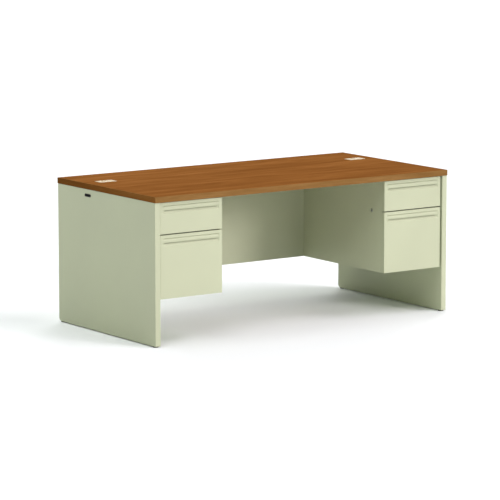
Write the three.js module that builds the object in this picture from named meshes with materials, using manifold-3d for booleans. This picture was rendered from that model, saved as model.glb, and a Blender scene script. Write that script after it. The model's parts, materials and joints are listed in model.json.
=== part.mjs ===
// Double-pedestal teacher desk: a laminate worktop on two steel end panels, a modesty panel
// between them, and a pedestal with a box drawer and a file drawer on each side.
// Millimetres, +Z up. The origin is on the floor, in the middle of the desk. The user sits
// on the -Y side, +X is to their right.
import * as THREE from 'three';
import { mergeVertices } from 'three/addons/utils/BufferGeometryUtils.js';
import Module from 'manifold-3d';

const wasm = await Module();
wasm.setup();

// ---------- driving dimensions ----------
const DESK_WIDTH = 1828.8;
const DESK_DEPTH = 914.4;
const WORKTOP_HEIGHT = 749.3;
const WORKTOP_THICKNESS = 30;
const EDGE_BAND = 3;
const EDGE_ROUND = 2;
const TOP_CORNER = 3;
const SHEET = 1;
const GAP = 0.3;
const OVERSHOOT = 2;
const STEPS = 24;

const PANEL_SIDE_INSET = 1.5;
const PANEL_END_INSET = 5;
const PANEL_THICKNESS = 29;
const PANEL_FLOOR_GAP = 5;
const PANEL_REAR_CORNER = 18;
const PANEL_FRONT_CORNER = 3;

const KNEE_WIDTH = 1018.8;
const PEDESTAL_BOTTOM = 236.7;
const PEDESTAL_BACK_Y = 124;
const PEDESTAL_FLANGE = 15;
const TOP_RAIL_HEIGHT = 18;
const TOP_RAIL_DEPTH = 24;

const MODESTY_FACE_Y = 262;
const MODESTY_THICKNESS = 20;
const MODESTY_LIP = 8;

const FRONT_SETBACK = 14;
const FRONT_THICKNESS = 19;
const FRONT_OUTER_GAP = 6.5;
const FRONT_TO_CASE = 1.5;
const SLIDE_SPACE = 13;
const TRAY_BACK_Y = 110;

const PULL_TOP_MARGIN = 16;
const PULL_HEIGHT = 37;
const PULL_RAMP = 18;
const PULL_FACE_WIDTH = 335;
const PULL_FLOOR_WIDTH = 285;
const PULL_DEPTH = 14;
const LIP_THICKNESS = 2;
// The pull lip's centre line: depth behind the face, and distance below the pocket's top.
const LIP_LINE = [[14.5, 1.3], [7, 1.6], [3.8, 3.5], [2, 7.5], [1.4, 12], [1.6, 17], [3, 22]];
const LIP_STEPS = 16;

const SLIDE_LENGTH = 500;
const SLIDE_FRONT_Y = -418;

const LOCK_Y = -337;
const LOCK_Z = 555;
const LOCK_FLANGE_RADIUS = 9.5;
const LOCK_FLANGE_PROUD = 4.2;
const LOCK_BODY_RADIUS = 7.8;
const LOCK_BODY_END = 8;
const PLUG_RADIUS = 5;
const PLUG_FACE_SUNK = 0.3;
const KEYWAY = [1.8, 6.6, 2.6];
const CRANK_RADIUS = 8;
const CRANK_WIDTH = 5.4;
const CRANK_THICKNESS = 1.5;
const PIN_RADIUS = 2;
const PIN_LENGTH = 3.4;
// The lock bar stands between these distances from the wall, and its lugs between these heights.
const BAR_STRIP = [3, 4.6];
const BAR_REACH = [4, 12];
const BAR_ARM = [10.4, 12];
const BAR_Y = [10, 22];
const BAR_HEIGHT = [514, 575];
const LUG_HEIGHTS = [[514, 524], [560, 570]];
const BAR_ARM_HALF_HEIGHT = 6;
const CATCH_LENGTH = 5;
const CATCH_Y = [24.5, 27.5];

const GROMMET_X = 792;
const GROMMET_Y = 186;
const GROMMET_SIZE = [102, 60];
const GROMMET_FLANGE_THICKNESS = 3.3;
const GROMMET_PROUD = 0.8;
const GROMMET_CORNER = 6;
const SLEEVE_SHRINK = 3.3;
const CAP_SEAT_SHRINK = 4.5;
const CABLE_WAY_SHRINK = 7;
const CAP_THICKNESS = 2.2;
const CAP_SKIRT_DEPTH = 8;
const CAP_SKIRT_WALL = 2;
const CABLE_NOTCH = [30, 11];
const NOTCH_CORNER = 5;

const PORT_Y = 165;
const PORT_Z = 689;
const PORT_SIZE = [58, 15];
const PORT_RIM = 2.5;
const PORT_WALL = 1.5;
const PORT_PROUD = 1.2;

const GLIDE_RADIUS = 15;
const GLIDE_FOOT_HEIGHT = 4.4;
const GLIDE_STEM_RADIUS = 4;
const GLIDE_STEM_TOP = 48;
const GLIDE_HOLE_CLEARANCE = 0.6;
const GLIDE_Y = 430;

// Each drawer: height span of its front and of its tray, and the height of its slides.
const DRAWERS = {
  box: { front: [560, 716], tray: [572, 690], slideZ: 625, catchZ: [574, 584], members: 2 },
  file: { front: [237.2, 554.3], tray: [250, 540], slideZ: 400, catchZ: [528, 538], members: 3 },
};

// ---------- places worked out from them ----------
const UNDERSIDE = WORKTOP_HEIGHT - WORKTOP_THICKNESS;
const FRAME_TOP = UNDERSIDE - GAP;
const PANEL_OUTER = DESK_WIDTH / 2 - PANEL_SIDE_INSET;
const PANEL_INNER = PANEL_OUTER - PANEL_THICKNESS;
const PANEL_END = DESK_DEPTH / 2 - PANEL_END_INSET;
const PANEL_MIDDLE = (PANEL_OUTER + PANEL_INNER) / 2;
const CASE_KNEE_FACE = KNEE_WIDTH / 2;
const CASE_KNEE_INSIDE = CASE_KNEE_FACE + SHEET;
const CASE_OUTER_FACE = PANEL_INNER - GAP;
const CASE_OUTER_INSIDE = CASE_OUTER_FACE - SHEET;
const FRONT_FACE_Y = -DESK_DEPTH / 2 + FRONT_SETBACK;
const FRONT_BACK_Y = FRONT_FACE_Y + FRONT_THICKNESS;
const CASE_FRONT_Y = FRONT_BACK_Y + FRONT_TO_CASE;
const CASE_REAR_Y = MODESTY_FACE_Y - GAP;
const FRONT_KNEE_EDGE = CASE_KNEE_FACE;
const FRONT_OUTER_EDGE = PANEL_INNER - FRONT_OUTER_GAP;
const FRONT_MIDDLE = (FRONT_KNEE_EDGE + FRONT_OUTER_EDGE) / 2;
const TRAY_KNEE_SIDE = CASE_KNEE_INSIDE + SLIDE_SPACE;
const TRAY_OUTER_SIDE = CASE_OUTER_INSIDE - SLIDE_SPACE;
const GROMMET_TOP = WORKTOP_HEIGHT + GROMMET_PROUD;
const FLANGE_BOTTOM = GROMMET_TOP - GROMMET_FLANGE_THICKNESS;
const CAP_SEAT_BOTTOM = GROMMET_TOP - CAP_THICKNESS - GAP;

// ---------- materials ----------
const paint = (color, roughness, metalness) =>
  new THREE.MeshStandardMaterial({ color, roughness, metalness });
const laminate = () => paint(0x935f30, 0.45, 0);
const puttySteel = () => paint(0xd2d4bd, 0.5, 0.1);
const zincSteel = () => paint(0xb4b6b8, 0.35, 0.9);
const chrome = () => paint(0xd0d2d4, 0.15, 1);
const darkSteel = () => paint(0x55585c, 0.4, 0.8);
const creamPlastic = () => paint(0xf0dfc0, 0.5, 0);
const blackPlastic = () => paint(0x1b1c1a, 0.55, 0);
const blackRubber = () => paint(0x20201e, 0.85, 0);

// ---------- shape helpers ----------
const desk = new THREE.Group();
desk.name = 'teacher_desk';

function addMesh(parent, name, geometry, material) {
  const mesh = new THREE.Mesh(geometry, material);
  mesh.name = name;
  parent.add(mesh);
  return mesh;
}

function addGroup(parent, name) {
  const group = new THREE.Group();
  group.name = name;
  parent.add(group);
  return group;
}

// A block between two corners, given as spans along x, y and z, in either order.
function block(xSpan, ySpan, zSpan) {
  const spans = [xSpan, ySpan, zSpan];
  const size = spans.map(([a, b]) => Math.abs(b - a));
  const middle = spans.map(([a, b]) => (a + b) / 2);
  return new THREE.BoxGeometry(...size).translate(...middle);
}

function outline(points) {
  return new THREE.Shape(points.map(([a, b]) => new THREE.Vector2(a, b)));
}

function extrude(shape, depth) {
  return new THREE.ExtrudeGeometry(shape, { depth, bevelEnabled: false, curveSegments: 4 });
}

// A section drawn in x and y, standing between two heights.
function alongZ(shape, [low, high]) {
  return extrude(shape, high - low).translate(0, 0, low);
}

// A section drawn in x and z, running between two y places.
function alongY(shape, [near, far]) {
  return extrude(shape, far - near).rotateX(Math.PI / 2).translate(0, far, 0);
}

// A section drawn in y and z, running between two x places, in either order.
function alongX(shape, xSpan) {
  const low = Math.min(...xSpan);
  const turn = new THREE.Matrix4().set(0, 0, 1, low, 1, 0, 0, 0, 0, 1, 0, 0, 0, 0, 0, 1);
  return extrude(shape, Math.abs(xSpan[1] - xSpan[0])).applyMatrix4(turn);
}

// A rectangle whose corners have one radius.
function roundedRectangle(middleX, middleY, width, height, radius) {
  const shape = new THREE.Shape();
  const [left, right] = [middleX - width / 2, middleX + width / 2];
  const [bottom, top] = [middleY - height / 2, middleY + height / 2];
  const quarter = Math.PI / 2;
  shape.moveTo(left + radius, bottom);
  shape.absarc(right - radius, bottom + radius, radius, -quarter, 0);
  shape.absarc(right - radius, top - radius, radius, 0, quarter);
  shape.absarc(left + radius, top - radius, radius, quarter, 2 * quarter);
  shape.absarc(left + radius, bottom + radius, radius, 2 * quarter, 3 * quarter);
  shape.closePath();
  return shape;
}

function toSolid(geometry) {
  const bare = geometry.clone();
  bare.deleteAttribute('normal');
  bare.deleteAttribute('uv');
  const merged = mergeVertices(bare, 1e-4);
  return new wasm.Manifold(new wasm.Mesh({
    numProp: 3,
    vertProperties: new Float32Array(merged.attributes.position.array),
    triVerts: new Uint32Array(merged.index.array),
  }));
}

function fromSolid(solid) {
  const mesh = solid.getMesh();
  const geometry = new THREE.BufferGeometry();
  const places = new Float32Array(mesh.vertProperties);
  geometry.setAttribute('position', new THREE.BufferAttribute(places, 3));
  geometry.setIndex(new THREE.BufferAttribute(new Uint32Array(mesh.triVerts), 1));
  geometry.computeVertexNormals();
  return geometry;
}

function join(first, ...others) {
  return fromSolid(others.reduce((sum, other) => sum.add(toSolid(other)), toSolid(first)));
}

function cut(first, ...tools) {
  return fromSolid(tools.reduce((rest, tool) => rest.subtract(toSolid(tool)), toSolid(first)));
}

function meet(first, second) {
  return fromSolid(toSolid(first).intersect(toSolid(second)));
}

// A turned piece about a line along x: the profile holds radius and distance along x.
function turnedAboutX(profile, x, y, z, side) {
  const points = profile.map(([radius, along]) => new THREE.Vector2(radius, along));
  const turned = new THREE.LatheGeometry(points, STEPS);
  return turned.rotateZ(-side * Math.PI / 2).translate(x, y, z);
}

// A turned piece about an upright line.
function turnedUpright(profile, x, y) {
  const points = profile.map(([radius, height]) => new THREE.Vector2(radius, height));
  return new THREE.LatheGeometry(points, STEPS).rotateX(Math.PI / 2).translate(x, y, 0);
}

// A bent strip of even thickness that follows a smooth line through the given points.
function bentStrip(points, thickness, steps) {
  const line = new THREE.SplineCurve(points.map(([a, b]) => new THREE.Vector2(a, b)));
  const near = [];
  const far = [];
  for (let step = 0; step <= steps; step += 1) {
    const place = line.getPoint(step / steps);
    const along = line.getTangent(step / steps);
    const offset = new THREE.Vector2(-along.y, along.x).multiplyScalar(thickness / 2);
    near.push(place.clone().add(offset));
    far.unshift(place.clone().sub(offset));
  }
  return new THREE.Shape([...near, ...far]);
}

// ---------- worktop ----------
function grommetOutline(side, shrink) {
  const [width, depth] = GROMMET_SIZE;
  const radius = Math.max(GROMMET_CORNER - shrink, 1);
  return roundedRectangle(side * GROMMET_X, GROMMET_Y, width - 2 * shrink, depth - 2 * shrink, radius);
}

function makeWorktop() {
  const coreWidth = DESK_WIDTH - 2 * (EDGE_BAND + GAP);
  const coreDepth = DESK_DEPTH - 2 * (EDGE_BAND + GAP);
  const span = [UNDERSIDE, WORKTOP_HEIGHT];
  const core = block([-coreWidth / 2, coreWidth / 2], [-coreDepth / 2, coreDepth / 2], span);
  const tools = [];
  for (const side of [-1, 1]) {
    const through = [UNDERSIDE - OVERSHOOT, WORKTOP_HEIGHT + OVERSHOOT];
    const rebate = [FLANGE_BOTTOM - GAP, WORKTOP_HEIGHT + OVERSHOOT];
    tools.push(alongZ(grommetOutline(side, SLEEVE_SHRINK - GAP), through));
    tools.push(alongZ(grommetOutline(side, -GAP), rebate));
  }
  addMesh(desk, 'worktop_core', cut(core, ...tools), laminate());

  const slab = new THREE.ExtrudeGeometry(roundedRectangle(0, 0, DESK_WIDTH, DESK_DEPTH, TOP_CORNER), {
    depth: WORKTOP_THICKNESS - 2 * EDGE_ROUND,
    bevelThickness: EDGE_ROUND,
    bevelSize: EDGE_ROUND,
    bevelOffset: -EDGE_ROUND,
    bevelSegments: 4,
    curveSegments: 4,
  }).translate(0, 0, UNDERSIDE + EDGE_ROUND);
  const [halfWidth, halfDepth] = [DESK_WIDTH / 2 - EDGE_BAND, DESK_DEPTH / 2 - EDGE_BAND];
  const inside = block(
    [-halfWidth, halfWidth],
    [-halfDepth, halfDepth],
    [UNDERSIDE - OVERSHOOT, WORKTOP_HEIGHT + OVERSHOOT],
  );
  addMesh(desk, 'worktop_edge_band', cut(slab, inside), laminate());
}

// ---------- cable grommets in the worktop ----------
function makeGrommet(side, word) {
  const group = addGroup(desk, `${word}_grommet`);
  const [under, over] = [UNDERSIDE - OVERSHOOT, GROMMET_TOP + OVERSHOOT];
  const sleeve = cut(
    join(
      alongZ(grommetOutline(side, 0), [FLANGE_BOTTOM, GROMMET_TOP]),
      alongZ(grommetOutline(side, SLEEVE_SHRINK), [UNDERSIDE, GROMMET_TOP]),
    ),
    alongZ(grommetOutline(side, CABLE_WAY_SHRINK), [under, over]),
    alongZ(grommetOutline(side, CAP_SEAT_SHRINK), [CAP_SEAT_BOTTOM, over]),
  );
  addMesh(group, `${word}_grommet_sleeve`, sleeve, creamPlastic());

  // The cap has a skirt inside the sleeve, and a notch at its rear edge that lets cables out.
  const [notchWidth, notchDepth] = CABLE_NOTCH;
  const rearEdge = GROMMET_Y + GROMMET_SIZE[1] / 2 - CAP_SEAT_SHRINK - GAP;
  const notchMiddle = rearEdge - notchDepth / 2 + OVERSHOOT;
  const notchSpan = notchDepth + 2 * OVERSHOOT;
  const notch = roundedRectangle(side * GROMMET_X, notchMiddle, notchWidth, notchSpan, NOTCH_CORNER);
  const skirtBottom = CAP_SEAT_BOTTOM - CAP_SKIRT_DEPTH;
  const skirtShrink = CABLE_WAY_SHRINK + GAP;
  const skirt = cut(
    alongZ(grommetOutline(side, skirtShrink), [skirtBottom, GROMMET_TOP - CAP_THICKNESS / 2]),
    alongZ(grommetOutline(side, skirtShrink + CAP_SKIRT_WALL), [skirtBottom - OVERSHOOT, GROMMET_TOP]),
  );
  const lid = alongZ(grommetOutline(side, CAP_SEAT_SHRINK + GAP), [CAP_SEAT_BOTTOM + GAP, GROMMET_TOP]);
  const cap = cut(join(lid, skirt), alongZ(notch, [skirtBottom - OVERSHOOT, over]));
  addMesh(group, `${word}_grommet_cap`, cap, creamPlastic());
}

// ---------- end panels, their glides and cable ports ----------
function portOutline(shrink) {
  const [length, height] = PORT_SIZE;
  const radius = height / 2 - shrink - 0.01;
  return roundedRectangle(PORT_Y, PORT_Z, length - 2 * shrink, height - 2 * shrink, radius);
}

// Side view of an end panel, in y and z, moved in from its edges by shrink.
function panelOutline(shrink) {
  const shape = new THREE.Shape();
  const [front, rear] = [-PANEL_END + shrink, PANEL_END - shrink];
  const [bottom, top] = [PANEL_FLOOR_GAP + shrink, FRAME_TOP - shrink];
  const frontCorner = PANEL_FRONT_CORNER - shrink;
  const rearCorner = PANEL_REAR_CORNER - shrink;
  shape.moveTo(front, top);
  shape.lineTo(front, bottom + frontCorner);
  shape.absarc(front + frontCorner, bottom + frontCorner, frontCorner, Math.PI, 1.5 * Math.PI);
  shape.lineTo(rear - rearCorner, bottom);
  shape.absarc(rear - rearCorner, bottom + rearCorner, rearCorner, 1.5 * Math.PI, 2 * Math.PI);
  shape.lineTo(rear, top);
  shape.closePath();
  return shape;
}

// A section in y and z, run right through an end panel.
function throughPanel(shape, side) {
  return alongX(shape, [side * (PANEL_INNER - OVERSHOOT), side * (PANEL_OUTER + OVERSHOOT)]);
}

function makeEndPanel(side, word) {
  const group = addGroup(desk, `${word}_end`);
  const portHole = throughPanel(portOutline(PORT_RIM - GAP), side);
  const holeRadius = GLIDE_STEM_RADIUS + GLIDE_HOLE_CLEARANCE;
  const stemHoles = [-1, 1].map((end) => {
    const drill = new THREE.CylinderGeometry(holeRadius, holeRadius, 4 * OVERSHOOT, STEPS);
    return drill.rotateX(Math.PI / 2).translate(side * PANEL_MIDDLE, end * GLIDE_Y, PANEL_FLOOR_GAP);
  });
  const skin = cut(
    alongX(panelOutline(0), [side * PANEL_INNER, side * PANEL_OUTER]),
    alongX(panelOutline(SHEET), [side * (PANEL_INNER - OVERSHOOT), side * (PANEL_OUTER - SHEET)]),
    portHole,
    ...stemHoles,
  );
  addMesh(group, `${word}_end_panel_skin`, skin, puttySteel());

  const liner = cut(
    alongX(panelOutline(SHEET + GAP), [side * PANEL_INNER, side * (PANEL_INNER + SHEET)]),
    portHole,
  );
  addMesh(group, `${word}_end_panel_liner`, liner, puttySteel());

  const portFace = side * (PANEL_OUTER + PORT_PROUD);
  const port = cut(
    join(
      alongX(portOutline(0), [side * (PANEL_OUTER + GAP), portFace]),
      alongX(portOutline(PORT_RIM), [side * PANEL_INNER, portFace]),
    ),
    throughPanel(portOutline(PORT_RIM + PORT_WALL), side),
  );
  addMesh(group, `${word}_cable_port`, port, blackPlastic());

  const profile = [
    [0, 0], [GLIDE_RADIUS - 1.5, 0], [GLIDE_RADIUS, 1.5], [GLIDE_RADIUS, GLIDE_FOOT_HEIGHT - 2.5],
    [GLIDE_RADIUS - 3, GLIDE_FOOT_HEIGHT], [GLIDE_STEM_RADIUS, GLIDE_FOOT_HEIGHT + 0.5],
    [GLIDE_STEM_RADIUS, GLIDE_STEM_TOP], [0, GLIDE_STEM_TOP],
  ];
  for (const [end, place] of [[-1, 'front'], [1, 'rear']]) {
    const glide = turnedUpright(profile, side * PANEL_MIDDLE, end * GLIDE_Y);
    addMesh(group, `${word}_${place}_glide`, glide, blackRubber());
  }
}

// ---------- modesty panel ----------
function makeModestyPanel() {
  const [near, far] = [MODESTY_FACE_Y, MODESTY_FACE_Y + MODESTY_THICKNESS];
  const [bottom, top] = [PEDESTAL_BOTTOM, FRAME_TOP];
  const section = outline([
    [near, bottom], [near + MODESTY_LIP, bottom], [near + MODESTY_LIP, bottom + SHEET],
    [near + SHEET, bottom + SHEET], [near + SHEET, top - SHEET], [far - SHEET, top - SHEET],
    [far - SHEET, bottom + SHEET], [far - MODESTY_LIP, bottom + SHEET],
    [far - MODESTY_LIP, bottom], [far, bottom], [far, top], [near, top],
  ]);
  const reach = PANEL_INNER - GAP;
  addMesh(desk, 'modesty_panel', alongX(section, [-reach, reach]), puttySteel());
}

// ---------- pedestals ----------
function makePedestalCase(group, side, word) {
  const [knee, outer] = [CASE_KNEE_FACE, CASE_OUTER_FACE];
  const [bottom, top] = [PEDESTAL_BOTTOM, FRAME_TOP];
  const section = [
    [knee, bottom], [outer, bottom], [outer, top], [outer - PEDESTAL_FLANGE, top],
    [outer - PEDESTAL_FLANGE, top - SHEET], [outer - SHEET, top - SHEET],
    [outer - SHEET, bottom + SHEET], [knee + SHEET, bottom + SHEET],
    [knee + SHEET, top - SHEET], [knee + PEDESTAL_FLANGE, top - SHEET],
    [knee + PEDESTAL_FLANGE, top], [knee, top],
  ].map(([x, z]) => [side * x, z]);
  const railFront = CASE_FRONT_Y;
  const railSection = outline([
    [railFront, top], [railFront, top - TOP_RAIL_HEIGHT], [railFront + SHEET, top - TOP_RAIL_HEIGHT],
    [railFront + SHEET, top - SHEET], [railFront + TOP_RAIL_DEPTH, top - SHEET],
    [railFront + TOP_RAIL_DEPTH, top],
  ]);
  const chase = block(
    [side * (knee + PEDESTAL_FLANGE + OVERSHOOT), side * (outer + OVERSHOOT)],
    [PEDESTAL_BACK_Y + SHEET + GAP, CASE_REAR_Y + OVERSHOOT],
    [bottom - OVERSHOOT, top + OVERSHOOT],
  );
  const holeRadius = LOCK_BODY_RADIUS + GAP;
  const lockHole = new THREE.CylinderGeometry(holeRadius, holeRadius, 4 * OVERSHOOT, STEPS);
  lockHole.rotateZ(Math.PI / 2).translate(side * knee, LOCK_Y, LOCK_Z);
  const wrapper = cut(
    join(
      alongY(outline(section), [CASE_FRONT_Y, CASE_REAR_Y]),
      alongX(railSection, [side * (knee + SHEET / 2), side * (outer - SHEET / 2)]),
    ),
    chase,
    lockHole,
  );
  addMesh(group, `${word}_pedestal_case`, wrapper, puttySteel());
}

function makePedestalBack(group, side, word) {
  const [near, far] = [CASE_KNEE_INSIDE + GAP, CASE_OUTER_INSIDE - GAP];
  const [front, rear] = [PEDESTAL_BACK_Y - PEDESTAL_FLANGE + SHEET, PEDESTAL_BACK_Y + SHEET];
  const section = [
    [near, front], [near + SHEET, front], [near + SHEET, PEDESTAL_BACK_Y],
    [far - SHEET, PEDESTAL_BACK_Y], [far - SHEET, front], [far, front], [far, rear], [near, rear],
  ].map(([x, y]) => [side * x, y]);
  const height = [PEDESTAL_BOTTOM + SHEET + GAP, FRAME_TOP - SHEET - GAP];
  addMesh(group, `${word}_pedestal_back`, alongZ(outline(section), height), puttySteel());
}

// ---------- drawer fronts, pulls and trays ----------
// The pull pocket, grown outwards by the given distance and carried out past the face. Its ends
// slope in towards its floor, and its lower side is a ramp from the floor out to the face.
function pullPocket(side, pocketTop, grow, reachOut) {
  const middle = side * FRONT_MIDDLE;
  const mouthY = FRONT_FACE_Y - reachOut;
  const floorY = FRONT_FACE_Y + PULL_DEPTH + grow;
  const endSlope = (PULL_FACE_WIDTH - PULL_FLOOR_WIDTH) / 2 / PULL_DEPTH;
  const halfFloor = PULL_FLOOR_WIDTH / 2 + grow;
  const halfMouth = halfFloor + endSlope * (floorY - mouthY);
  const plan = outline([
    [middle - halfMouth, mouthY], [middle + halfMouth, mouthY],
    [middle + halfFloor, floorY], [middle - halfFloor, floorY],
  ]);
  const rampLength = Math.hypot(PULL_RAMP, PULL_DEPTH);
  const rampDrop = (depth) => (
    PULL_HEIGHT + (grow * rampLength - PULL_RAMP * depth) / PULL_DEPTH);
  const profile = outline([
    [mouthY, pocketTop + grow], [floorY, pocketTop + grow],
    [floorY, pocketTop - rampDrop(PULL_DEPTH + grow)], [mouthY, pocketTop - rampDrop(-reachOut)],
  ]);
  const depthBelow = 2 * PULL_HEIGHT;
  return meet(
    alongZ(plan, [pocketTop - depthBelow, pocketTop + grow]),
    alongX(profile, [middle - PULL_FACE_WIDTH, middle + PULL_FACE_WIDTH]),
  );
}

function makeDrawerFront(group, side, word, kind) {
  const [bottom, top] = DRAWERS[kind].front;
  const xSpan = [side * FRONT_KNEE_EDGE, side * FRONT_OUTER_EDGE];
  const inside = [side * (FRONT_KNEE_EDGE + SHEET), side * (FRONT_OUTER_EDGE - SHEET)];
  const pocketTop = top - PULL_TOP_MARGIN;
  const pan = cut(
    block(xSpan, [FRONT_FACE_Y, FRONT_BACK_Y], [bottom, top]),
    block(inside, [FRONT_FACE_Y + SHEET, FRONT_BACK_Y + OVERSHOOT], [bottom + SHEET, top - SHEET]),
  );
  const front = cut(
    join(pan, pullPocket(side, pocketTop, SHEET, 0)),
    pullPocket(side, pocketTop, 0, OVERSHOOT),
  );
  addMesh(group, `${word}_${kind}_drawer_front`, front, puttySteel());

  // The lip starts at the pocket's floor, under its top, and curves out and down. Its ends follow
  // the pocket's sloping ends.
  const line = LIP_LINE.map(([depth, drop]) => [FRONT_FACE_Y + depth, pocketTop - drop]);
  const middle = side * FRONT_MIDDLE;
  const strip = alongX(
    bentStrip(line, LIP_THICKNESS, LIP_STEPS),
    [middle - PULL_FACE_WIDTH / 2, middle + PULL_FACE_WIDTH / 2],
  );
  const lip = meet(strip, pullPocket(side, pocketTop, -GAP, 0));
  addMesh(group, `${word}_${kind}_drawer_pull`, lip, puttySteel());
}

function makeTray(group, side, word, kind) {
  const { front: [frontBottom, frontTop], tray: [bottom, top], catchZ } = DRAWERS[kind];
  const inset = SHEET + GAP;
  const headFront = FRONT_BACK_Y - SHEET;
  const head = block(
    [side * (FRONT_KNEE_EDGE + inset), side * (FRONT_OUTER_EDGE - inset)],
    [headFront, FRONT_BACK_Y],
    [frontBottom + inset, frontTop - inset],
  );
  const shell = block(
    [side * TRAY_KNEE_SIDE, side * TRAY_OUTER_SIDE],
    [headFront, TRAY_BACK_Y],
    [bottom, top],
  );
  const hollow = block(
    [side * (TRAY_KNEE_SIDE + SHEET), side * (TRAY_OUTER_SIDE - SHEET)],
    [FRONT_BACK_Y, TRAY_BACK_Y - SHEET],
    [bottom + SHEET, top + OVERSHOOT],
  );
  // The catch stands out behind the lock bar, and a raised bar stops it.
  const catchBlock = block(
    [side * (TRAY_KNEE_SIDE - CATCH_LENGTH), side * (TRAY_KNEE_SIDE + SHEET / 2)],
    CATCH_Y.map((distance) => LOCK_Y + distance),
    catchZ,
  );
  const tray = join(cut(shell, hollow), head, catchBlock);
  addMesh(group, `${word}_${kind}_drawer_tray`, tray, puttySteel());
}

// ---------- drawer slides ----------
// A channel that runs front to back. Distances are measured from the pedestal's wall, into it.
function channel(wall, inward, web, tip, middleZ, halfHeight) {
  const turn = Math.sign(tip - web);
  const section = [
    [web, -halfHeight], [tip, -halfHeight], [tip, SHEET - halfHeight],
    [web + turn * SHEET, SHEET - halfHeight], [web + turn * SHEET, halfHeight - SHEET],
    [tip, halfHeight - SHEET], [tip, halfHeight], [web, halfHeight],
  ].map(([distance, height]) => [wall + inward * distance, middleZ + height]);
  return alongY(outline(section), [SLIDE_FRONT_Y, SLIDE_FRONT_Y + SLIDE_LENGTH]);
}

// Each member: name, distance of its web and of its flange tips from the wall, half height.
const SLIDE_MEMBERS = {
  2: [['cabinet_member', GAP, 9, 17.5], ['drawer_member', SLIDE_SPACE - GAP, 4, 14.3]],
  3: [
    ['cabinet_member', GAP, 9.5, 22.5],
    ['middle_member', 3.2, 10.5, 19.3],
    ['drawer_member', SLIDE_SPACE - GAP, 6, 16],
  ],
};

function makeSlides(group, side, word, kind) {
  const { slideZ, members } = DRAWERS[kind];
  const walls = [['knee', CASE_KNEE_INSIDE, 1], ['outer', CASE_OUTER_INSIDE, -1]];
  for (const [place, wall, inward] of walls) {
    for (const [member, web, tip, halfHeight] of SLIDE_MEMBERS[members]) {
      const geometry = channel(side * wall, side * inward, web, tip, slideZ, halfHeight);
      addMesh(group, `${word}_${kind}_${place}_slide_${member}`, geometry, zincSteel());
    }
  }
}

// ---------- pedestal lock ----------
// Distances along the lock are measured from the inside of the pedestal's knee-side wall.
function makeLock(group, side, word) {
  const wall = side * CASE_KNEE_INSIDE;
  const along = (distances) => distances.map((distance) => wall + side * distance);
  const beside = ([near, far]) => [LOCK_Y + near, LOCK_Y + far];
  const bore = PLUG_RADIUS + GAP;
  const seat = -SHEET - GAP;
  const barrel = turnedAboutX([
    [bore, -LOCK_FLANGE_PROUD], [LOCK_FLANGE_RADIUS - 0.5, -LOCK_FLANGE_PROUD],
    [LOCK_FLANGE_RADIUS, 0.5 - LOCK_FLANGE_PROUD], [LOCK_FLANGE_RADIUS, seat],
    [LOCK_BODY_RADIUS, seat], [LOCK_BODY_RADIUS, LOCK_BODY_END], [bore, LOCK_BODY_END],
    [bore, -LOCK_FLANGE_PROUD],
  ], wall, LOCK_Y, LOCK_Z, side);
  addMesh(group, `${word}_lock_barrel`, barrel, chrome());

  // The plug carries a crank at its inner end, whose pin moves the lock bar.
  const plugFace = PLUG_FACE_SUNK - LOCK_FLANGE_PROUD;
  const crankStart = LOCK_BODY_END + GAP;
  const crankEnd = crankStart + CRANK_THICKNESS;
  const plug = turnedAboutX([
    [0, plugFace], [PLUG_RADIUS, plugFace], [PLUG_RADIUS, crankStart + GAP], [0, crankStart + GAP],
  ], wall, LOCK_Y, LOCK_Z, side);
  const crankLength = CRANK_RADIUS + CRANK_WIDTH;
  const arm = roundedRectangle(CRANK_RADIUS / 2, 0, crankLength, CRANK_WIDTH, CRANK_WIDTH / 2 - 0.1);
  const crankArm = extrude(arm, CRANK_THICKNESS).rotateZ(-Math.PI / 4);
  const toYZ = new THREE.Matrix4().set(0, 0, 1, 0, 1, 0, 0, 0, 0, 1, 0, 0, 0, 0, 0, 1);
  const crankLow = Math.min(...along([crankStart, crankEnd]));
  crankArm.applyMatrix4(toYZ).translate(crankLow, LOCK_Y, LOCK_Z);
  const pinDrop = CRANK_RADIUS * Math.SQRT1_2;
  const pinZ = LOCK_Z - pinDrop;
  const pin = new THREE.CylinderGeometry(PIN_RADIUS, PIN_RADIUS, PIN_LENGTH, STEPS / 2);
  const [pinMiddle] = along([crankEnd + PIN_LENGTH / 2 - SHEET]);
  pin.rotateZ(Math.PI / 2).translate(pinMiddle, LOCK_Y + pinDrop, pinZ);
  const [keyWidth, keyHeight, keyDepth] = KEYWAY;
  const keyway = block(
    along([plugFace - OVERSHOOT, plugFace + keyDepth]),
    beside([-keyWidth / 2, keyWidth / 2]),
    [LOCK_Z - keyHeight / 2, LOCK_Z + keyHeight / 2],
  );
  addMesh(group, `${word}_lock_plug`, cut(join(plug, crankArm, pin), keyway), darkSteel());

  // The bar is a strip near the wall with two lugs that stop the catches, and a slotted arm.
  const strip = block(along(BAR_STRIP), beside(BAR_Y), BAR_HEIGHT);
  const lugs = LUG_HEIGHTS.map((span) => block(along(BAR_REACH), beside(BAR_Y), span));
  const armSpan = [pinZ - BAR_ARM_HALF_HEIGHT, pinZ + BAR_ARM_HALF_HEIGHT];
  const bridge = block(along(BAR_REACH), beside([BAR_Y[0] + 2, BAR_Y[1] - 2]), armSpan);
  const arms = block(along(BAR_ARM), beside([1, 13]), armSpan);
  const slotHalf = PIN_RADIUS + 0.7;
  const slot = block(
    along([BAR_ARM[0] - 1, BAR_ARM[1] + 1]),
    beside([3, 11]),
    [pinZ - slotHalf, pinZ + slotHalf],
  );
  addMesh(group, `${word}_lock_bar`, cut(join(strip, ...lugs, bridge, arms), slot), zincSteel());
}

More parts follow.
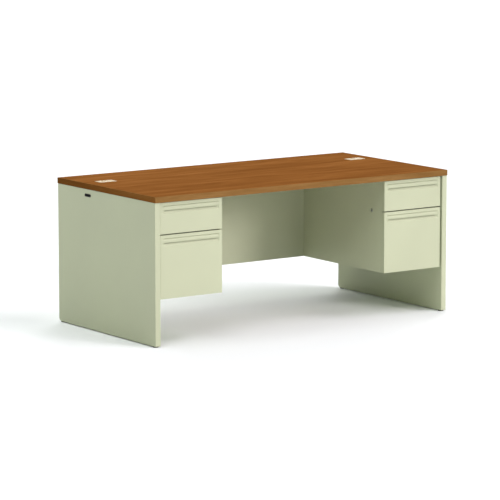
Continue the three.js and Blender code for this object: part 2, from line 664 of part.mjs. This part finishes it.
// ---------- assembly ----------
makeWorktop();
makeModestyPanel();
for (const [side, word] of [[-1, 'left'], [1, 'right']]) {
  makeGrommet(side, word);
  makeEndPanel(side, word);
  const pedestal = addGroup(desk, `${word}_pedestal`);
  makePedestalCase(pedestal, side, word);
  makePedestalBack(pedestal, side, word);
  makeLock(pedestal, side, word);
  for (const kind of ['box', 'file']) {
    const drawer = addGroup(pedestal, `${word}_${kind}_drawer`);
    makeDrawerFront(drawer, side, word, kind);
    makeTray(drawer, side, word, kind);
    makeSlides(drawer, side, word, kind);
  }
}

export default desk;
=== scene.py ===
"""The looks of a double-pedestal teacher desk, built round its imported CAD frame.

Metres, +Z up, the user's side is -Y. The CAD nodes keep their shapes: they get weld and bevel
modifiers and procedural materials here, and the small hardware is added as separate pieces.
"""

import json
import math

import bmesh
import bpy
from mathutils import Matrix, Vector


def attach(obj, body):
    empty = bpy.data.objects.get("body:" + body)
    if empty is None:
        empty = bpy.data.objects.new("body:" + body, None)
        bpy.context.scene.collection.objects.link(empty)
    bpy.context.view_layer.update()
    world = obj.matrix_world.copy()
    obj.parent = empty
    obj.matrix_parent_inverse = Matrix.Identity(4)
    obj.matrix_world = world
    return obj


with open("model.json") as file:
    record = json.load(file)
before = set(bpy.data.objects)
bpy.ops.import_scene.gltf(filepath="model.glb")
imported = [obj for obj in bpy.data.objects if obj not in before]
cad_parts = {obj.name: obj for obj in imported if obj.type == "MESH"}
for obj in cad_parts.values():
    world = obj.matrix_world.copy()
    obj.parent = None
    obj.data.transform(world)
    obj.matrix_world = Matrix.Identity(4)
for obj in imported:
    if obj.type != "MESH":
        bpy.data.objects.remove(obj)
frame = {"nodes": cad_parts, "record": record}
bpy.context.view_layer.update()

NODES = frame["nodes"]
SLOT_OF = {part["node"]: part["material_slot"] for part in frame["record"]["subparts"]}
SIDES = ((-1, "left"), (1, "right"))


# ---------- material building ----------
MIX_COLORS_IN = slice(6, 8)
MIX_COLOR_OUT = 2


class Graph:
    """A material whose node tree is built with short calls."""

    def __init__(self, name):
        self.material = bpy.data.materials.new(name)
        self.material.use_nodes = True
        self.tree = self.material.node_tree
        self.shader = self.tree.nodes["Principled BSDF"]
        self.place = self.add("ShaderNodeTexCoord").outputs["Object"]

    def add(self, kind, inputs=None, **settings):
        node = self.tree.nodes.new(kind)
        for key, value in settings.items():
            setattr(node, key, value)
        for key, value in (inputs or {}).items():
            self.feed(node.inputs[key], value)
        return node

    def feed(self, socket, value):
        if isinstance(value, bpy.types.NodeSocket):
            self.tree.links.new(value, socket)
        else:
            socket.default_value = value

    def scaled(self, scale, place=None, offset=(0, 0, 0)):
        inputs = {"Vector": place or self.place, "Scale": scale, "Location": offset}
        return self.add("ShaderNodeMapping", inputs).outputs["Vector"]

    def noise(self, place, detail=2.0, roughness=0.5, distortion=0.0):
        inputs = {
            "Vector": place, "Scale": 1.0, "Detail": detail,
            "Roughness": roughness, "Distortion": distortion,
        }
        return self.add("ShaderNodeTexNoise", inputs).outputs["Fac"]

    def span(self, value, low, high, to_low=0.0, to_high=1.0):
        inputs = {
            "Value": value, "From Min": low, "From Max": high, "To Min": to_low, "To Max": to_high,
        }
        return self.add("ShaderNodeMapRange", inputs).outputs["Result"]

    def maths(self, operation, first, second):
        node = self.add("ShaderNodeMath", operation=operation)
        self.feed(node.inputs[0], first)
        self.feed(node.inputs[1], second)
        return node.outputs[0]

    def ramp(self, value, stops):
        node = self.add("ShaderNodeValToRGB", {"Fac": value})
        elements = node.color_ramp.elements
        while len(elements) < len(stops):
            elements.new(0.5)
        for element, (place, color) in zip(elements, stops):
            element.position = place
            element.color = (*color, 1)
        return node.outputs["Color"]

    def mix(self, factor, first, second, blend="MIX"):
        node = self.add("ShaderNodeMix", data_type="RGBA", blend_type=blend)
        self.feed(node.inputs["Factor"], factor)
        for socket, value in zip(node.inputs[MIX_COLORS_IN], (first, second)):
            self.feed(socket, (*value, 1) if isinstance(value, tuple) else value)
        return node.outputs[MIX_COLOR_OUT]

    def bump(self, height, distance, strength=1.0):
        inputs = {"Height": height, "Distance": distance, "Strength": strength}
        return self.add("ShaderNodeBump", inputs).outputs["Normal"]

    def finish(self, **inputs):
        for key, value in inputs.items():
            name = key.replace("_", " ")
            self.feed(self.shader.inputs[name], (*value, 1) if isinstance(value, tuple) else value)
        return self.material

    def facing(self, axis):
        """How far the surface faces along one of the object's axes, from -1 to 1."""
        normal = self.add("ShaderNodeTexCoord").outputs["Normal"]
        return self.add("ShaderNodeSeparateXYZ", {"Vector": normal}).outputs[axis]


WOOD_DARK = (0.205, 0.075, 0.0165)
WOOD_MIDDLE = (0.268, 0.104, 0.0245)
WOOD_LIGHT = (0.345, 0.142, 0.038)
WOOD_TONES = ((0.36, WOOD_DARK), (0.50, WOOD_MIDDLE), (0.66, WOOD_LIGHT))
WOOD_PORE = (0.120, 0.042, 0.011)
BACKER = (0.33, 0.25, 0.16)
# How many times each layer of the grain repeats in a metre, along it and across it.
MOTTLE_SCALE = (2.4, 14, 14)
BAND_SCALE = (1.1, 11, 11)
FIBRE_SCALE = (7, 170, 170)
PORE_SCALE = (16, 620, 620)
FIGURE_SCALE = (0.7, 3.0, 3.0)
# How much each layer of the grain counts in the tone.
BAND_WEIGHT = 0.30
FIBRE_WEIGHT = 0.22
FIGURE_WEIGHT = 0.05
MOTTLE_WEIGHT = 0.43
PORE_STRENGTH = 0.30
GRAIN_RELIEF = 0.00006


def wood_laminate(name, lift, painted_side_shade):
    """Wood-grain laminate with its grain along x, or along y on faces that look sideways; on those
    faces the side colour is multiplied in as painted shade.
    """
    graph = Graph(name)
    sideways = graph.maths("ABSOLUTE", graph.facing(0), 0.0)
    upward = graph.facing(2)
    quarter_turn = {"Vector": graph.place, "Rotation": (0, 0, math.pi / 2)}
    turned_place = graph.add("ShaderNodeMapping", quarter_turn).outputs["Vector"]
    place = graph.mix(graph.span(sideways, 0.4, 0.6), graph.place, turned_place)
    mottle = graph.noise(graph.scaled(MOTTLE_SCALE, place), 3.0, 0.6, 0.35)
    bands = graph.noise(graph.scaled(BAND_SCALE, place, (3.1, 0, 1)), 4.0, 0.6, 0.6)
    fibres = graph.noise(graph.scaled(FIBRE_SCALE, place), 3.0, 0.6)
    pores = graph.noise(graph.scaled(PORE_SCALE, place), 1.0, 0.5)
    figure = graph.add(
        "ShaderNodeTexWave",
        {"Vector": graph.scaled(FIGURE_SCALE, place), "Scale": 1.0, "Distortion": 9.0,
         "Detail": 2.0, "Detail Scale": 1.1, "Detail Roughness": 0.55},
        wave_type="BANDS", bands_direction="Y",
    ).outputs["Fac"]
    tone = graph.maths("MULTIPLY", bands, BAND_WEIGHT)
    for layer, weight in ((fibres, FIBRE_WEIGHT), (figure, FIGURE_WEIGHT), (mottle, MOTTLE_WEIGHT)):
        tone = graph.maths("ADD", tone, graph.maths("MULTIPLY", layer, weight))
    stops = [
        (place_in_ramp, tuple(part * more for part, more in zip(color, lift)))
        for place_in_ramp, color in WOOD_TONES
    ]
    color = graph.ramp(tone, stops)
    color = graph.mix(graph.span(pores, 0.62, 0.74, 0.0, PORE_STRENGTH), color, WOOD_PORE)
    # Painted shade: faces that look sideways are multiplied by the side colour, so they come out
    # darker.
    painted_side_shaded = graph.mix(1.0, color, painted_side_shade, "MULTIPLY")
    color = graph.mix(graph.span(sideways, 0.6, 0.9), color, painted_side_shaded)
    color = graph.mix(graph.span(upward, -0.8, -0.6, 1.0, 0.0), color, BACKER)
    rough = graph.span(fibres, 0.3, 0.7, 0.50, 0.60)
    relief = graph.maths("ADD", fibres, graph.maths("MULTIPLY", pores, -0.6))
    graph.shader.inputs["Specular IOR Level"].default_value = 0.0
    return graph.finish(Base_Color=color, Roughness=rough, Normal=graph.bump(relief, GRAIN_RELIEF))


PUTTY = (0.489, 0.526, 0.352)
PUTTY_GRIT = (0.42, 0.44, 0.33)


def putty_paint():
    """Satin powder coat: an even colour with a fine orange-peel skin and faint handling marks."""
    graph = Graph("putty_paint_look")
    cloud = graph.noise(graph.scaled((3, 3, 3)), 2.0)
    peel = graph.noise(graph.scaled((620, 620, 620)), 2.0, 0.55)
    grit = graph.noise(graph.scaled((2600, 2600, 2600)), 1.0)
    dark = tuple(part * 0.975 for part in PUTTY)
    light = tuple(min(part * 1.02, 1) for part in PUTTY)
    color = graph.ramp(cloud, [(0.35, dark), (0.65, light)])
    color = graph.mix(graph.span(grit, 0.70, 0.80, 0.0, 0.10), color, PUTTY_GRIT)
    rough = graph.span(cloud, 0.3, 0.7, 0.44, 0.52)
    height = graph.maths("ADD", peel, graph.maths("MULTIPLY", grit, 0.25))
    graph.shader.inputs["Specular IOR Level"].default_value = 0.30
    return graph.finish(Base_Color=color, Roughness=rough, Normal=graph.bump(height, 0.00005))


def rolled_steel(name, color, rough_low, rough_high):
    """Plated or bare strip, with rolling lines front to back and a cloudy plating."""
    graph = Graph(name)
    lines = graph.noise(graph.scaled((900, 9, 900)), 2.0, 0.6)
    cloud = graph.noise(graph.scaled((22, 22, 22)), 3.0)
    darker = tuple(part * 0.84 for part in color)
    tone = graph.maths("ADD", graph.maths("MULTIPLY", cloud, 0.7), graph.maths("MULTIPLY", lines, 0.3))
    tint = graph.ramp(tone, [(0.35, darker), (0.62, color)])
    rough = graph.span(lines, 0.3, 0.7, rough_low, rough_high)
    graph.shader.inputs["Metallic"].default_value = 1.0
    return graph.finish(Base_Color=tint, Roughness=rough, Normal=graph.bump(lines, 0.00002))


def moulded(name, color, rough, fleck, specular):
    """Moulded plastic or rubber with a fine spark-eroded texture."""
    graph = Graph(name)
    skin = graph.noise(graph.scaled((1500, 1500, 1500)), 2.0, 0.6)
    cloud = graph.noise(graph.scaled((30, 30, 30)), 2.0)
    darker = tuple(part * fleck for part in color)
    tint = graph.ramp(cloud, [(0.3, darker), (0.7, color)])
    graph.shader.inputs["Specular IOR Level"].default_value = specular
    roughness = graph.span(skin, 0.3, 0.7, rough - 0.05, rough + 0.05)
    return graph.finish(Base_Color=tint, Roughness=roughness, Normal=graph.bump(skin, 0.00004))


LOOKS = {
    "laminate": wood_laminate("laminate_look", (0.80, 0.81, 0.83), (1.0, 1.0, 1.0)),
    # The edge band's sideways faces get painted shade, darker and redder than its front.
    "edge_band": wood_laminate("edge_band_look", (0.86, 1.17, 1.55), (0.80, 0.62, 0.45)),
    "putty_paint": putty_paint(),
    "slide_zinc": rolled_steel("slide_zinc_look", (0.62, 0.64, 0.66), 0.26, 0.40),
    "lock_chrome": rolled_steel("lock_chrome_look", (0.60, 0.61, 0.62), 0.10, 0.18),
    "lock_steel": rolled_steel("lock_steel_look", (0.22, 0.22, 0.23), 0.25, 0.38),
    "grommet_plastic": moulded("grommet_plastic_look", (0.50, 0.405, 0.235), 0.45, 0.97, 0.1),
    "port_plastic": moulded("port_plastic_look", (0.012, 0.012, 0.012), 0.5, 0.8, 0.3),
    "glide_rubber": moulded("glide_rubber_look", (0.018, 0.018, 0.017), 0.75, 0.8, 0.25),
}

# Bevel width of each slot's edges, in metres: sheet is thin, so its bends stay small.
BEVELS = {
    "laminate": 0.0002, "edge_band": 0.0007, "putty_paint": 0.00035, "slide_zinc": 0.0003,
    "lock_chrome": 0.0003, "lock_steel": 0.0002, "grommet_plastic": 0.0004,
    "port_plastic": 0.0004, "glide_rubber": 0.0006,
}


def soften(obj, width, segments=2):
    """Welds split corners and rounds hard edges."""
    weld = obj.modifiers.new("weld", "WELD")
    weld.merge_threshold = 0.00001
    bevel = obj.modifiers.new("bevel", "BEVEL")
    bevel.width = width
    bevel.segments = segments
    bevel.limit_method = "ANGLE"
    bevel.angle_limit = math.radians(35)
    bevel.use_clamp_overlap = True
    bevel.harden_normals = False


def dress_nodes():
    for name, obj in NODES.items():
        slot = SLOT_OF[name]
        obj.data.materials.clear()
        obj.data.materials.append(LOOKS[slot])
        soften(obj, BEVELS[slot])


dress_nodes()

# ---------- small hardware that the CAD frame leaves out ----------
MM = 0.001
DOWN, FORWARDS, BACKWARDS = (0, 0, -1), (0, -1, 0), (0, 1, 0)
# Turned heads: radius and height of each corner, from the surface that they sit on.
SCREW = ((0, 0), (3.1, 0), (3.5, 0.35), (3.0, 1.2), (1.9, 1.7), (1.6, 1.7), (1.6, 0.8), (0, 0.8))
RIVET = ((0, 0), (3.3, 0), (3.1, 0.4), (2.0, 0.8), (0, 1.0))
BUMPER = ((0, 0), (4.5, 0), (4.3, 0.7), (3.4, 1.2), (0, 1.3))


def add_piece(name, vertices, faces, slot, body, bevel=None):
    """Adds a piece given in millimetres, in its slot's finish, moving with one body."""
    mesh = bpy.data.meshes.new(name)
    mesh.from_pydata([Vector(v) * MM for v in vertices], [], faces)
    clean = bmesh.new()
    clean.from_mesh(mesh)
    bmesh.ops.recalc_face_normals(clean, faces=clean.faces)
    clean.to_mesh(mesh)
    clean.free()
    mesh.materials.append(LOOKS[slot])
    obj = bpy.data.objects.new(name, mesh)
    bpy.context.scene.collection.objects.link(obj)
    if bevel:
        soften(obj, bevel)
    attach(obj, body)
    return obj


def turned(profile, base, axis, steps):
    """Vertices and faces of a turned shape standing on base along axis; a bore stays open."""
    turn = Vector((0, 0, 1)).rotation_difference(Vector(axis)).to_matrix()
    vertices, faces = [], []
    for radius, height in profile:
        for step in range(steps):
            angle = 2 * math.pi * step / steps
            place = Vector((radius * math.cos(angle), radius * math.sin(angle), height))
            vertices.append(Vector(base) + turn @ place)
    rings = len(profile)
    closed = profile[0][0] > 0
    for ring in range(rings if closed else rings - 1):
        upper = (ring + 1) % rings
        for step in range(steps):
            after = (step + 1) % steps
            here, above = ring * steps, upper * steps
            faces.append((here + step, here + after, above + after, above + step))
    return vertices, faces


def add_turned(name, profile, places, slot, body, steps=16):
    """One piece that holds a turned shape at each (base, axis) place."""
    vertices, faces = [], []
    for base, axis in places:
        more, sides = turned(profile, base, axis, steps)
        faces += [tuple(len(vertices) + corner for corner in face) for face in sides]
        vertices += more
    piece = add_piece(name, vertices, faces, slot, body)
    weld = piece.modifiers.new("weld", "WELD")
    weld.merge_threshold = 0.000001
    return piece


def add_strip(name, section, start, end, slot, body, along="y", bevel=0.0003):
    """An outline run between two places: in x and z along y, or in y and z along x."""
    def place(pair, distance):
        return (pair[0], distance, pair[1]) if along == "y" else (distance, pair[0], pair[1])
    count = len(section)
    vertices = [place(pair, start) for pair in section] + [place(pair, end) for pair in section]
    faces = [tuple(range(count)), tuple(range(count, 2 * count))]
    for corner in range(count):
        after = (corner + 1) % count
        faces.append((corner, after, count + after, count + corner))
    return add_piece(name, vertices, faces, slot, body, bevel)


def add_hem(name, side, drawer_top, body):
    """The rolled top edge of a drawer tray: a U in plan, on the inside of its walls."""
    near, far = TRAY_INSIDE_X
    front, rear = TRAY_INSIDE_Y
    outer = [(near, front), (near, rear), (far, rear), (far, front)]
    inner = [
        (near + HEM_WALL, front), (near + HEM_WALL, rear - HEM_WALL),
        (far - HEM_WALL, rear - HEM_WALL), (far - HEM_WALL, front),
    ]
    heights = (drawer_top - HEM_DROP, drawer_top + HEM_RISE)
    vertices = [(side * x, y, z) for z in heights for x, y in outer + inner]
    faces = []
    for leg in range(3):
        a, b, c, d = leg, leg + 1, leg + 5, leg + 4
        faces += [(a, b, c, d), (a + 8, b + 8, c + 8, d + 8)]
        faces += [(a, b, b + 8, a + 8), (d, c, c + 8, d + 8)]
    faces += [(0, 4, 12, 8), (3, 7, 15, 11)]
    add_piece(name, vertices, faces, "putty_paint", body, 0.0005)


# The places of the hardware in millimetres, on the right-hand side; the left mirrors x.
TRAY_INSIDE_X = (523.9, 869.1)
TRAY_INSIDE_Y = (-424.0, 109.5)
HEM_WALL = 1.8
HEM_DROP = 5
HEM_RISE = 1
# Each drawer's tray bottom, tray top and slide height.
DRAWERS = {"box": (572, 690, 625), "file": (250, 540, 400)}
FLANGE_Z = 718
FLANGE_SCREWS = [(x, y) for x in (517.4, 876) for y in (-375, -150, 60, 235)]
FLANGE_SCREWS += [(600, -405), (790, -405)]
PEDESTAL_BACK_Y = 125
PEDESTAL_BACK_SCREWS = [(x, z) for x in (522, 866) for z in (262, 480, 698)]
BUMPERS = [(x, -422.7, 710) for x in (545, 842)]
CASE_WALLS = ((511.7, 1), (881.3, -1))
SLIDE_RIVET_Y = (-395, -300, -150, 0, 65)
TRAY_WALLS = ((524.4, 1), (868.6, -1))
TRAY_SCREW_Y = (-380, -200, 40)
TRAY_HEAD_Y = -424.2
TRAY_HEAD_X = (560, 833)
TRAY_HEAD_MARGIN = 30
RAILS = (("knee", 530, 1), ("outer", 863, -1))
# A hanging rail's section: distance in from the tray's wall, and height.
RAIL_SECTION = (
    (0, 500), (1.5, 500), (1.5, 545), (4.5, 545), (4.5, 540), (6, 540), (6, 546.5), (0, 546.5),
)
RAIL_Y = (-422, 108)


def add_drawer_hardware(side, word, kind):
    bottom, top, slide_z = DRAWERS[kind]
    body = f"{word}_{kind}_drawer"
    rivets = [
        ((side * x, y, slide_z), (side * way, 0, 0)) for x, way in CASE_WALLS for y in SLIDE_RIVET_Y
    ]
    add_turned(f"{word}_{kind}_slide_rivets", RIVET, rivets, "slide_zinc", "desk")
    screws = [
        ((side * x, y, slide_z), (side * way, 0, 0)) for x, way in TRAY_WALLS for y in TRAY_SCREW_Y
    ]
    screws += [
        ((side * x, TRAY_HEAD_Y, z), BACKWARDS)
        for x in TRAY_HEAD_X for z in (bottom + TRAY_HEAD_MARGIN, top - TRAY_HEAD_MARGIN)
    ]
    add_turned(f"{word}_{kind}_tray_screws", SCREW, screws, "slide_zinc", body)
    add_hem(f"{word}_{kind}_tray_hem", side, top, body)


def add_pedestal_hardware(side, word):
    flange = [((side * x, y, FLANGE_Z), DOWN) for x, y in FLANGE_SCREWS]
    add_turned(f"{word}_flange_screws", SCREW, flange, "slide_zinc", "desk")
    back = [((side * x, PEDESTAL_BACK_Y, z), BACKWARDS) for x, z in PEDESTAL_BACK_SCREWS]
    add_turned(f"{word}_pedestal_back_screws", SCREW, back, "slide_zinc", "desk")
    bumpers = [((side * x, y, z), FORWARDS) for x, y, z in BUMPERS]
    add_turned(f"{word}_front_bumpers", BUMPER, bumpers, "glide_rubber", "desk")
    for kind in DRAWERS:
        add_drawer_hardware(side, word, kind)
    for place, start, way in RAILS:
        section = [(side * (start + way * across), height) for across, height in RAIL_SECTION]
        name = f"{word}_{place}_hanging_rail"
        add_strip(name, section, *RAIL_Y, "slide_zinc", f"{word}_file_drawer")


MODESTY_BACK_Y = 282
MODESTY_SCREWS = [(x, z) for x in (-868, 868) for z in (290, 480, 670)]
# An angle under the worktop, behind the modesty panel: its section in y and z.
BRACKET_SECTION = (
    (282.2, 688), (284.2, 688), (284.2, 716.8), (310, 716.8), (310, 718.8), (282.2, 718.8),
)
BRACKET_X = (-600, -200, 200, 600)
BRACKET_HALF_WIDTH = 22
BRACKET_SCREW_X = 12
BRACKET_SCREWS = (((284.2, 700), (0, 1, 0)), ((300, 716.8), (0, 0, -1)))


def add_frame_hardware():
    for side, word in SIDES:
        add_pedestal_hardware(side, word)
    ends = [((x, MODESTY_BACK_Y, z), BACKWARDS) for x, z in MODESTY_SCREWS]
    add_turned("modesty_end_screws", SCREW, ends, "slide_zinc", "desk")
    for number, x in enumerate(BRACKET_X):
        reach = (x - BRACKET_HALF_WIDTH, x + BRACKET_HALF_WIDTH)
        add_strip(f"top_bracket_{number}", BRACKET_SECTION, *reach, "slide_zinc", "desk", "x")
        heads = [
            ((x + way * BRACKET_SCREW_X, y, z), axis)
            for (y, z), axis in BRACKET_SCREWS for way in (-1, 1)
        ]
        add_turned(f"top_bracket_screws_{number}", SCREW, heads, "slide_zinc", "desk")


add_frame_hardware()

# ---------- stage, light and camera ----------


FLOOR_REACH = 90.0
FLOOR_COLOR = (0.86, 0.895, 0.895)


def make_stage():
    mesh = bpy.data.meshes.new("floor")
    corners = [(x * FLOOR_REACH, y * FLOOR_REACH, 0) for x, y in ((-1, -1), (1, -1), (1, 1), (-1, 1))]
    mesh.from_pydata(corners, [], [(0, 1, 2, 3)])
    floor = bpy.data.objects.new("floor", mesh)
    bpy.context.scene.collection.objects.link(floor)
    graph = Graph("floor_look")
    graph.shader.inputs["Specular IOR Level"].default_value = 0.0
    mesh.materials.append(graph.finish(Base_Color=FLOOR_COLOR, Roughness=0.9))


WARM = (1.0, 0.92, 0.98)
WHITE = (1.0, 1.0, 1.0)
# Soft far lights: degrees round from +X towards +Y, degrees up, strength, spread in degrees, colour.
LIGHTS = {
    "front_right_low": (298, 16, 1.53, 18, WARM),
    "front_low": (283, 16, 0.26, 18, WARM),
    "front_right_high": (315, 50, 1.15, 35, WARM),
    "front_left_high": (225, 50, 0.81, 35, WHITE),
    "overhead_left": (180, 70, 0.95, 35, WHITE),
    "overhead_rear": (90, 70, 0.48, 35, WHITE),
    "rear_right": (45, 28, 1.44, 35, WHITE),
    "rear_floor": (90, 8, 1.54, 35, WHITE),
}


def make_sun(name, turn, up, strength, spread, color):
    light = bpy.data.lights.new(name, "SUN")
    light.energy = strength
    light.color = color
    light.angle = math.radians(spread)
    lamp = bpy.data.objects.new(name, light)
    bpy.context.scene.collection.objects.link(lamp)
    lamp.rotation_euler = (0, math.radians(90 - up), math.radians(turn))


def make_light():
    world = bpy.data.worlds.new("studio")
    bpy.context.scene.world = world
    world.use_nodes = True
    background = world.node_tree.nodes["Background"]
    background.inputs["Color"].default_value = (1, 1, 1, 1)
    background.inputs["Strength"].default_value = 0.02
    for name, settings in LIGHTS.items():
        make_sun(name, *settings)
    bpy.context.scene.view_settings.view_transform = "Standard"


# The camera stands in front and to the left, a little above the worktop, with a long lens.
VIEW_TURN = math.radians(35.134)
VIEW_DOWN = math.radians(8.905)
VIEW_DISTANCE = 15.596
VIEW_LENS = 215.98
VIEW_AIM = Vector((-0.0141, 0.0190, 0.3474))


def make_camera():
    data = bpy.data.cameras.new("camera")
    data.sensor_width = 36
    data.lens = VIEW_LENS
    data.clip_end = 300
    camera = bpy.data.objects.new("camera", data)
    bpy.context.scene.collection.objects.link(camera)
    level = math.cos(VIEW_DOWN)
    forward = Vector((math.sin(VIEW_TURN) * level, math.cos(VIEW_TURN) * level, -math.sin(VIEW_DOWN)))
    camera.location = VIEW_AIM - forward * VIEW_DISTANCE
    camera.rotation_euler = (math.pi / 2 - VIEW_DOWN, 0, -VIEW_TURN)
    bpy.context.scene.camera = camera


make_stage()
make_light()
make_camera()

bpy.context.view_layer.update()
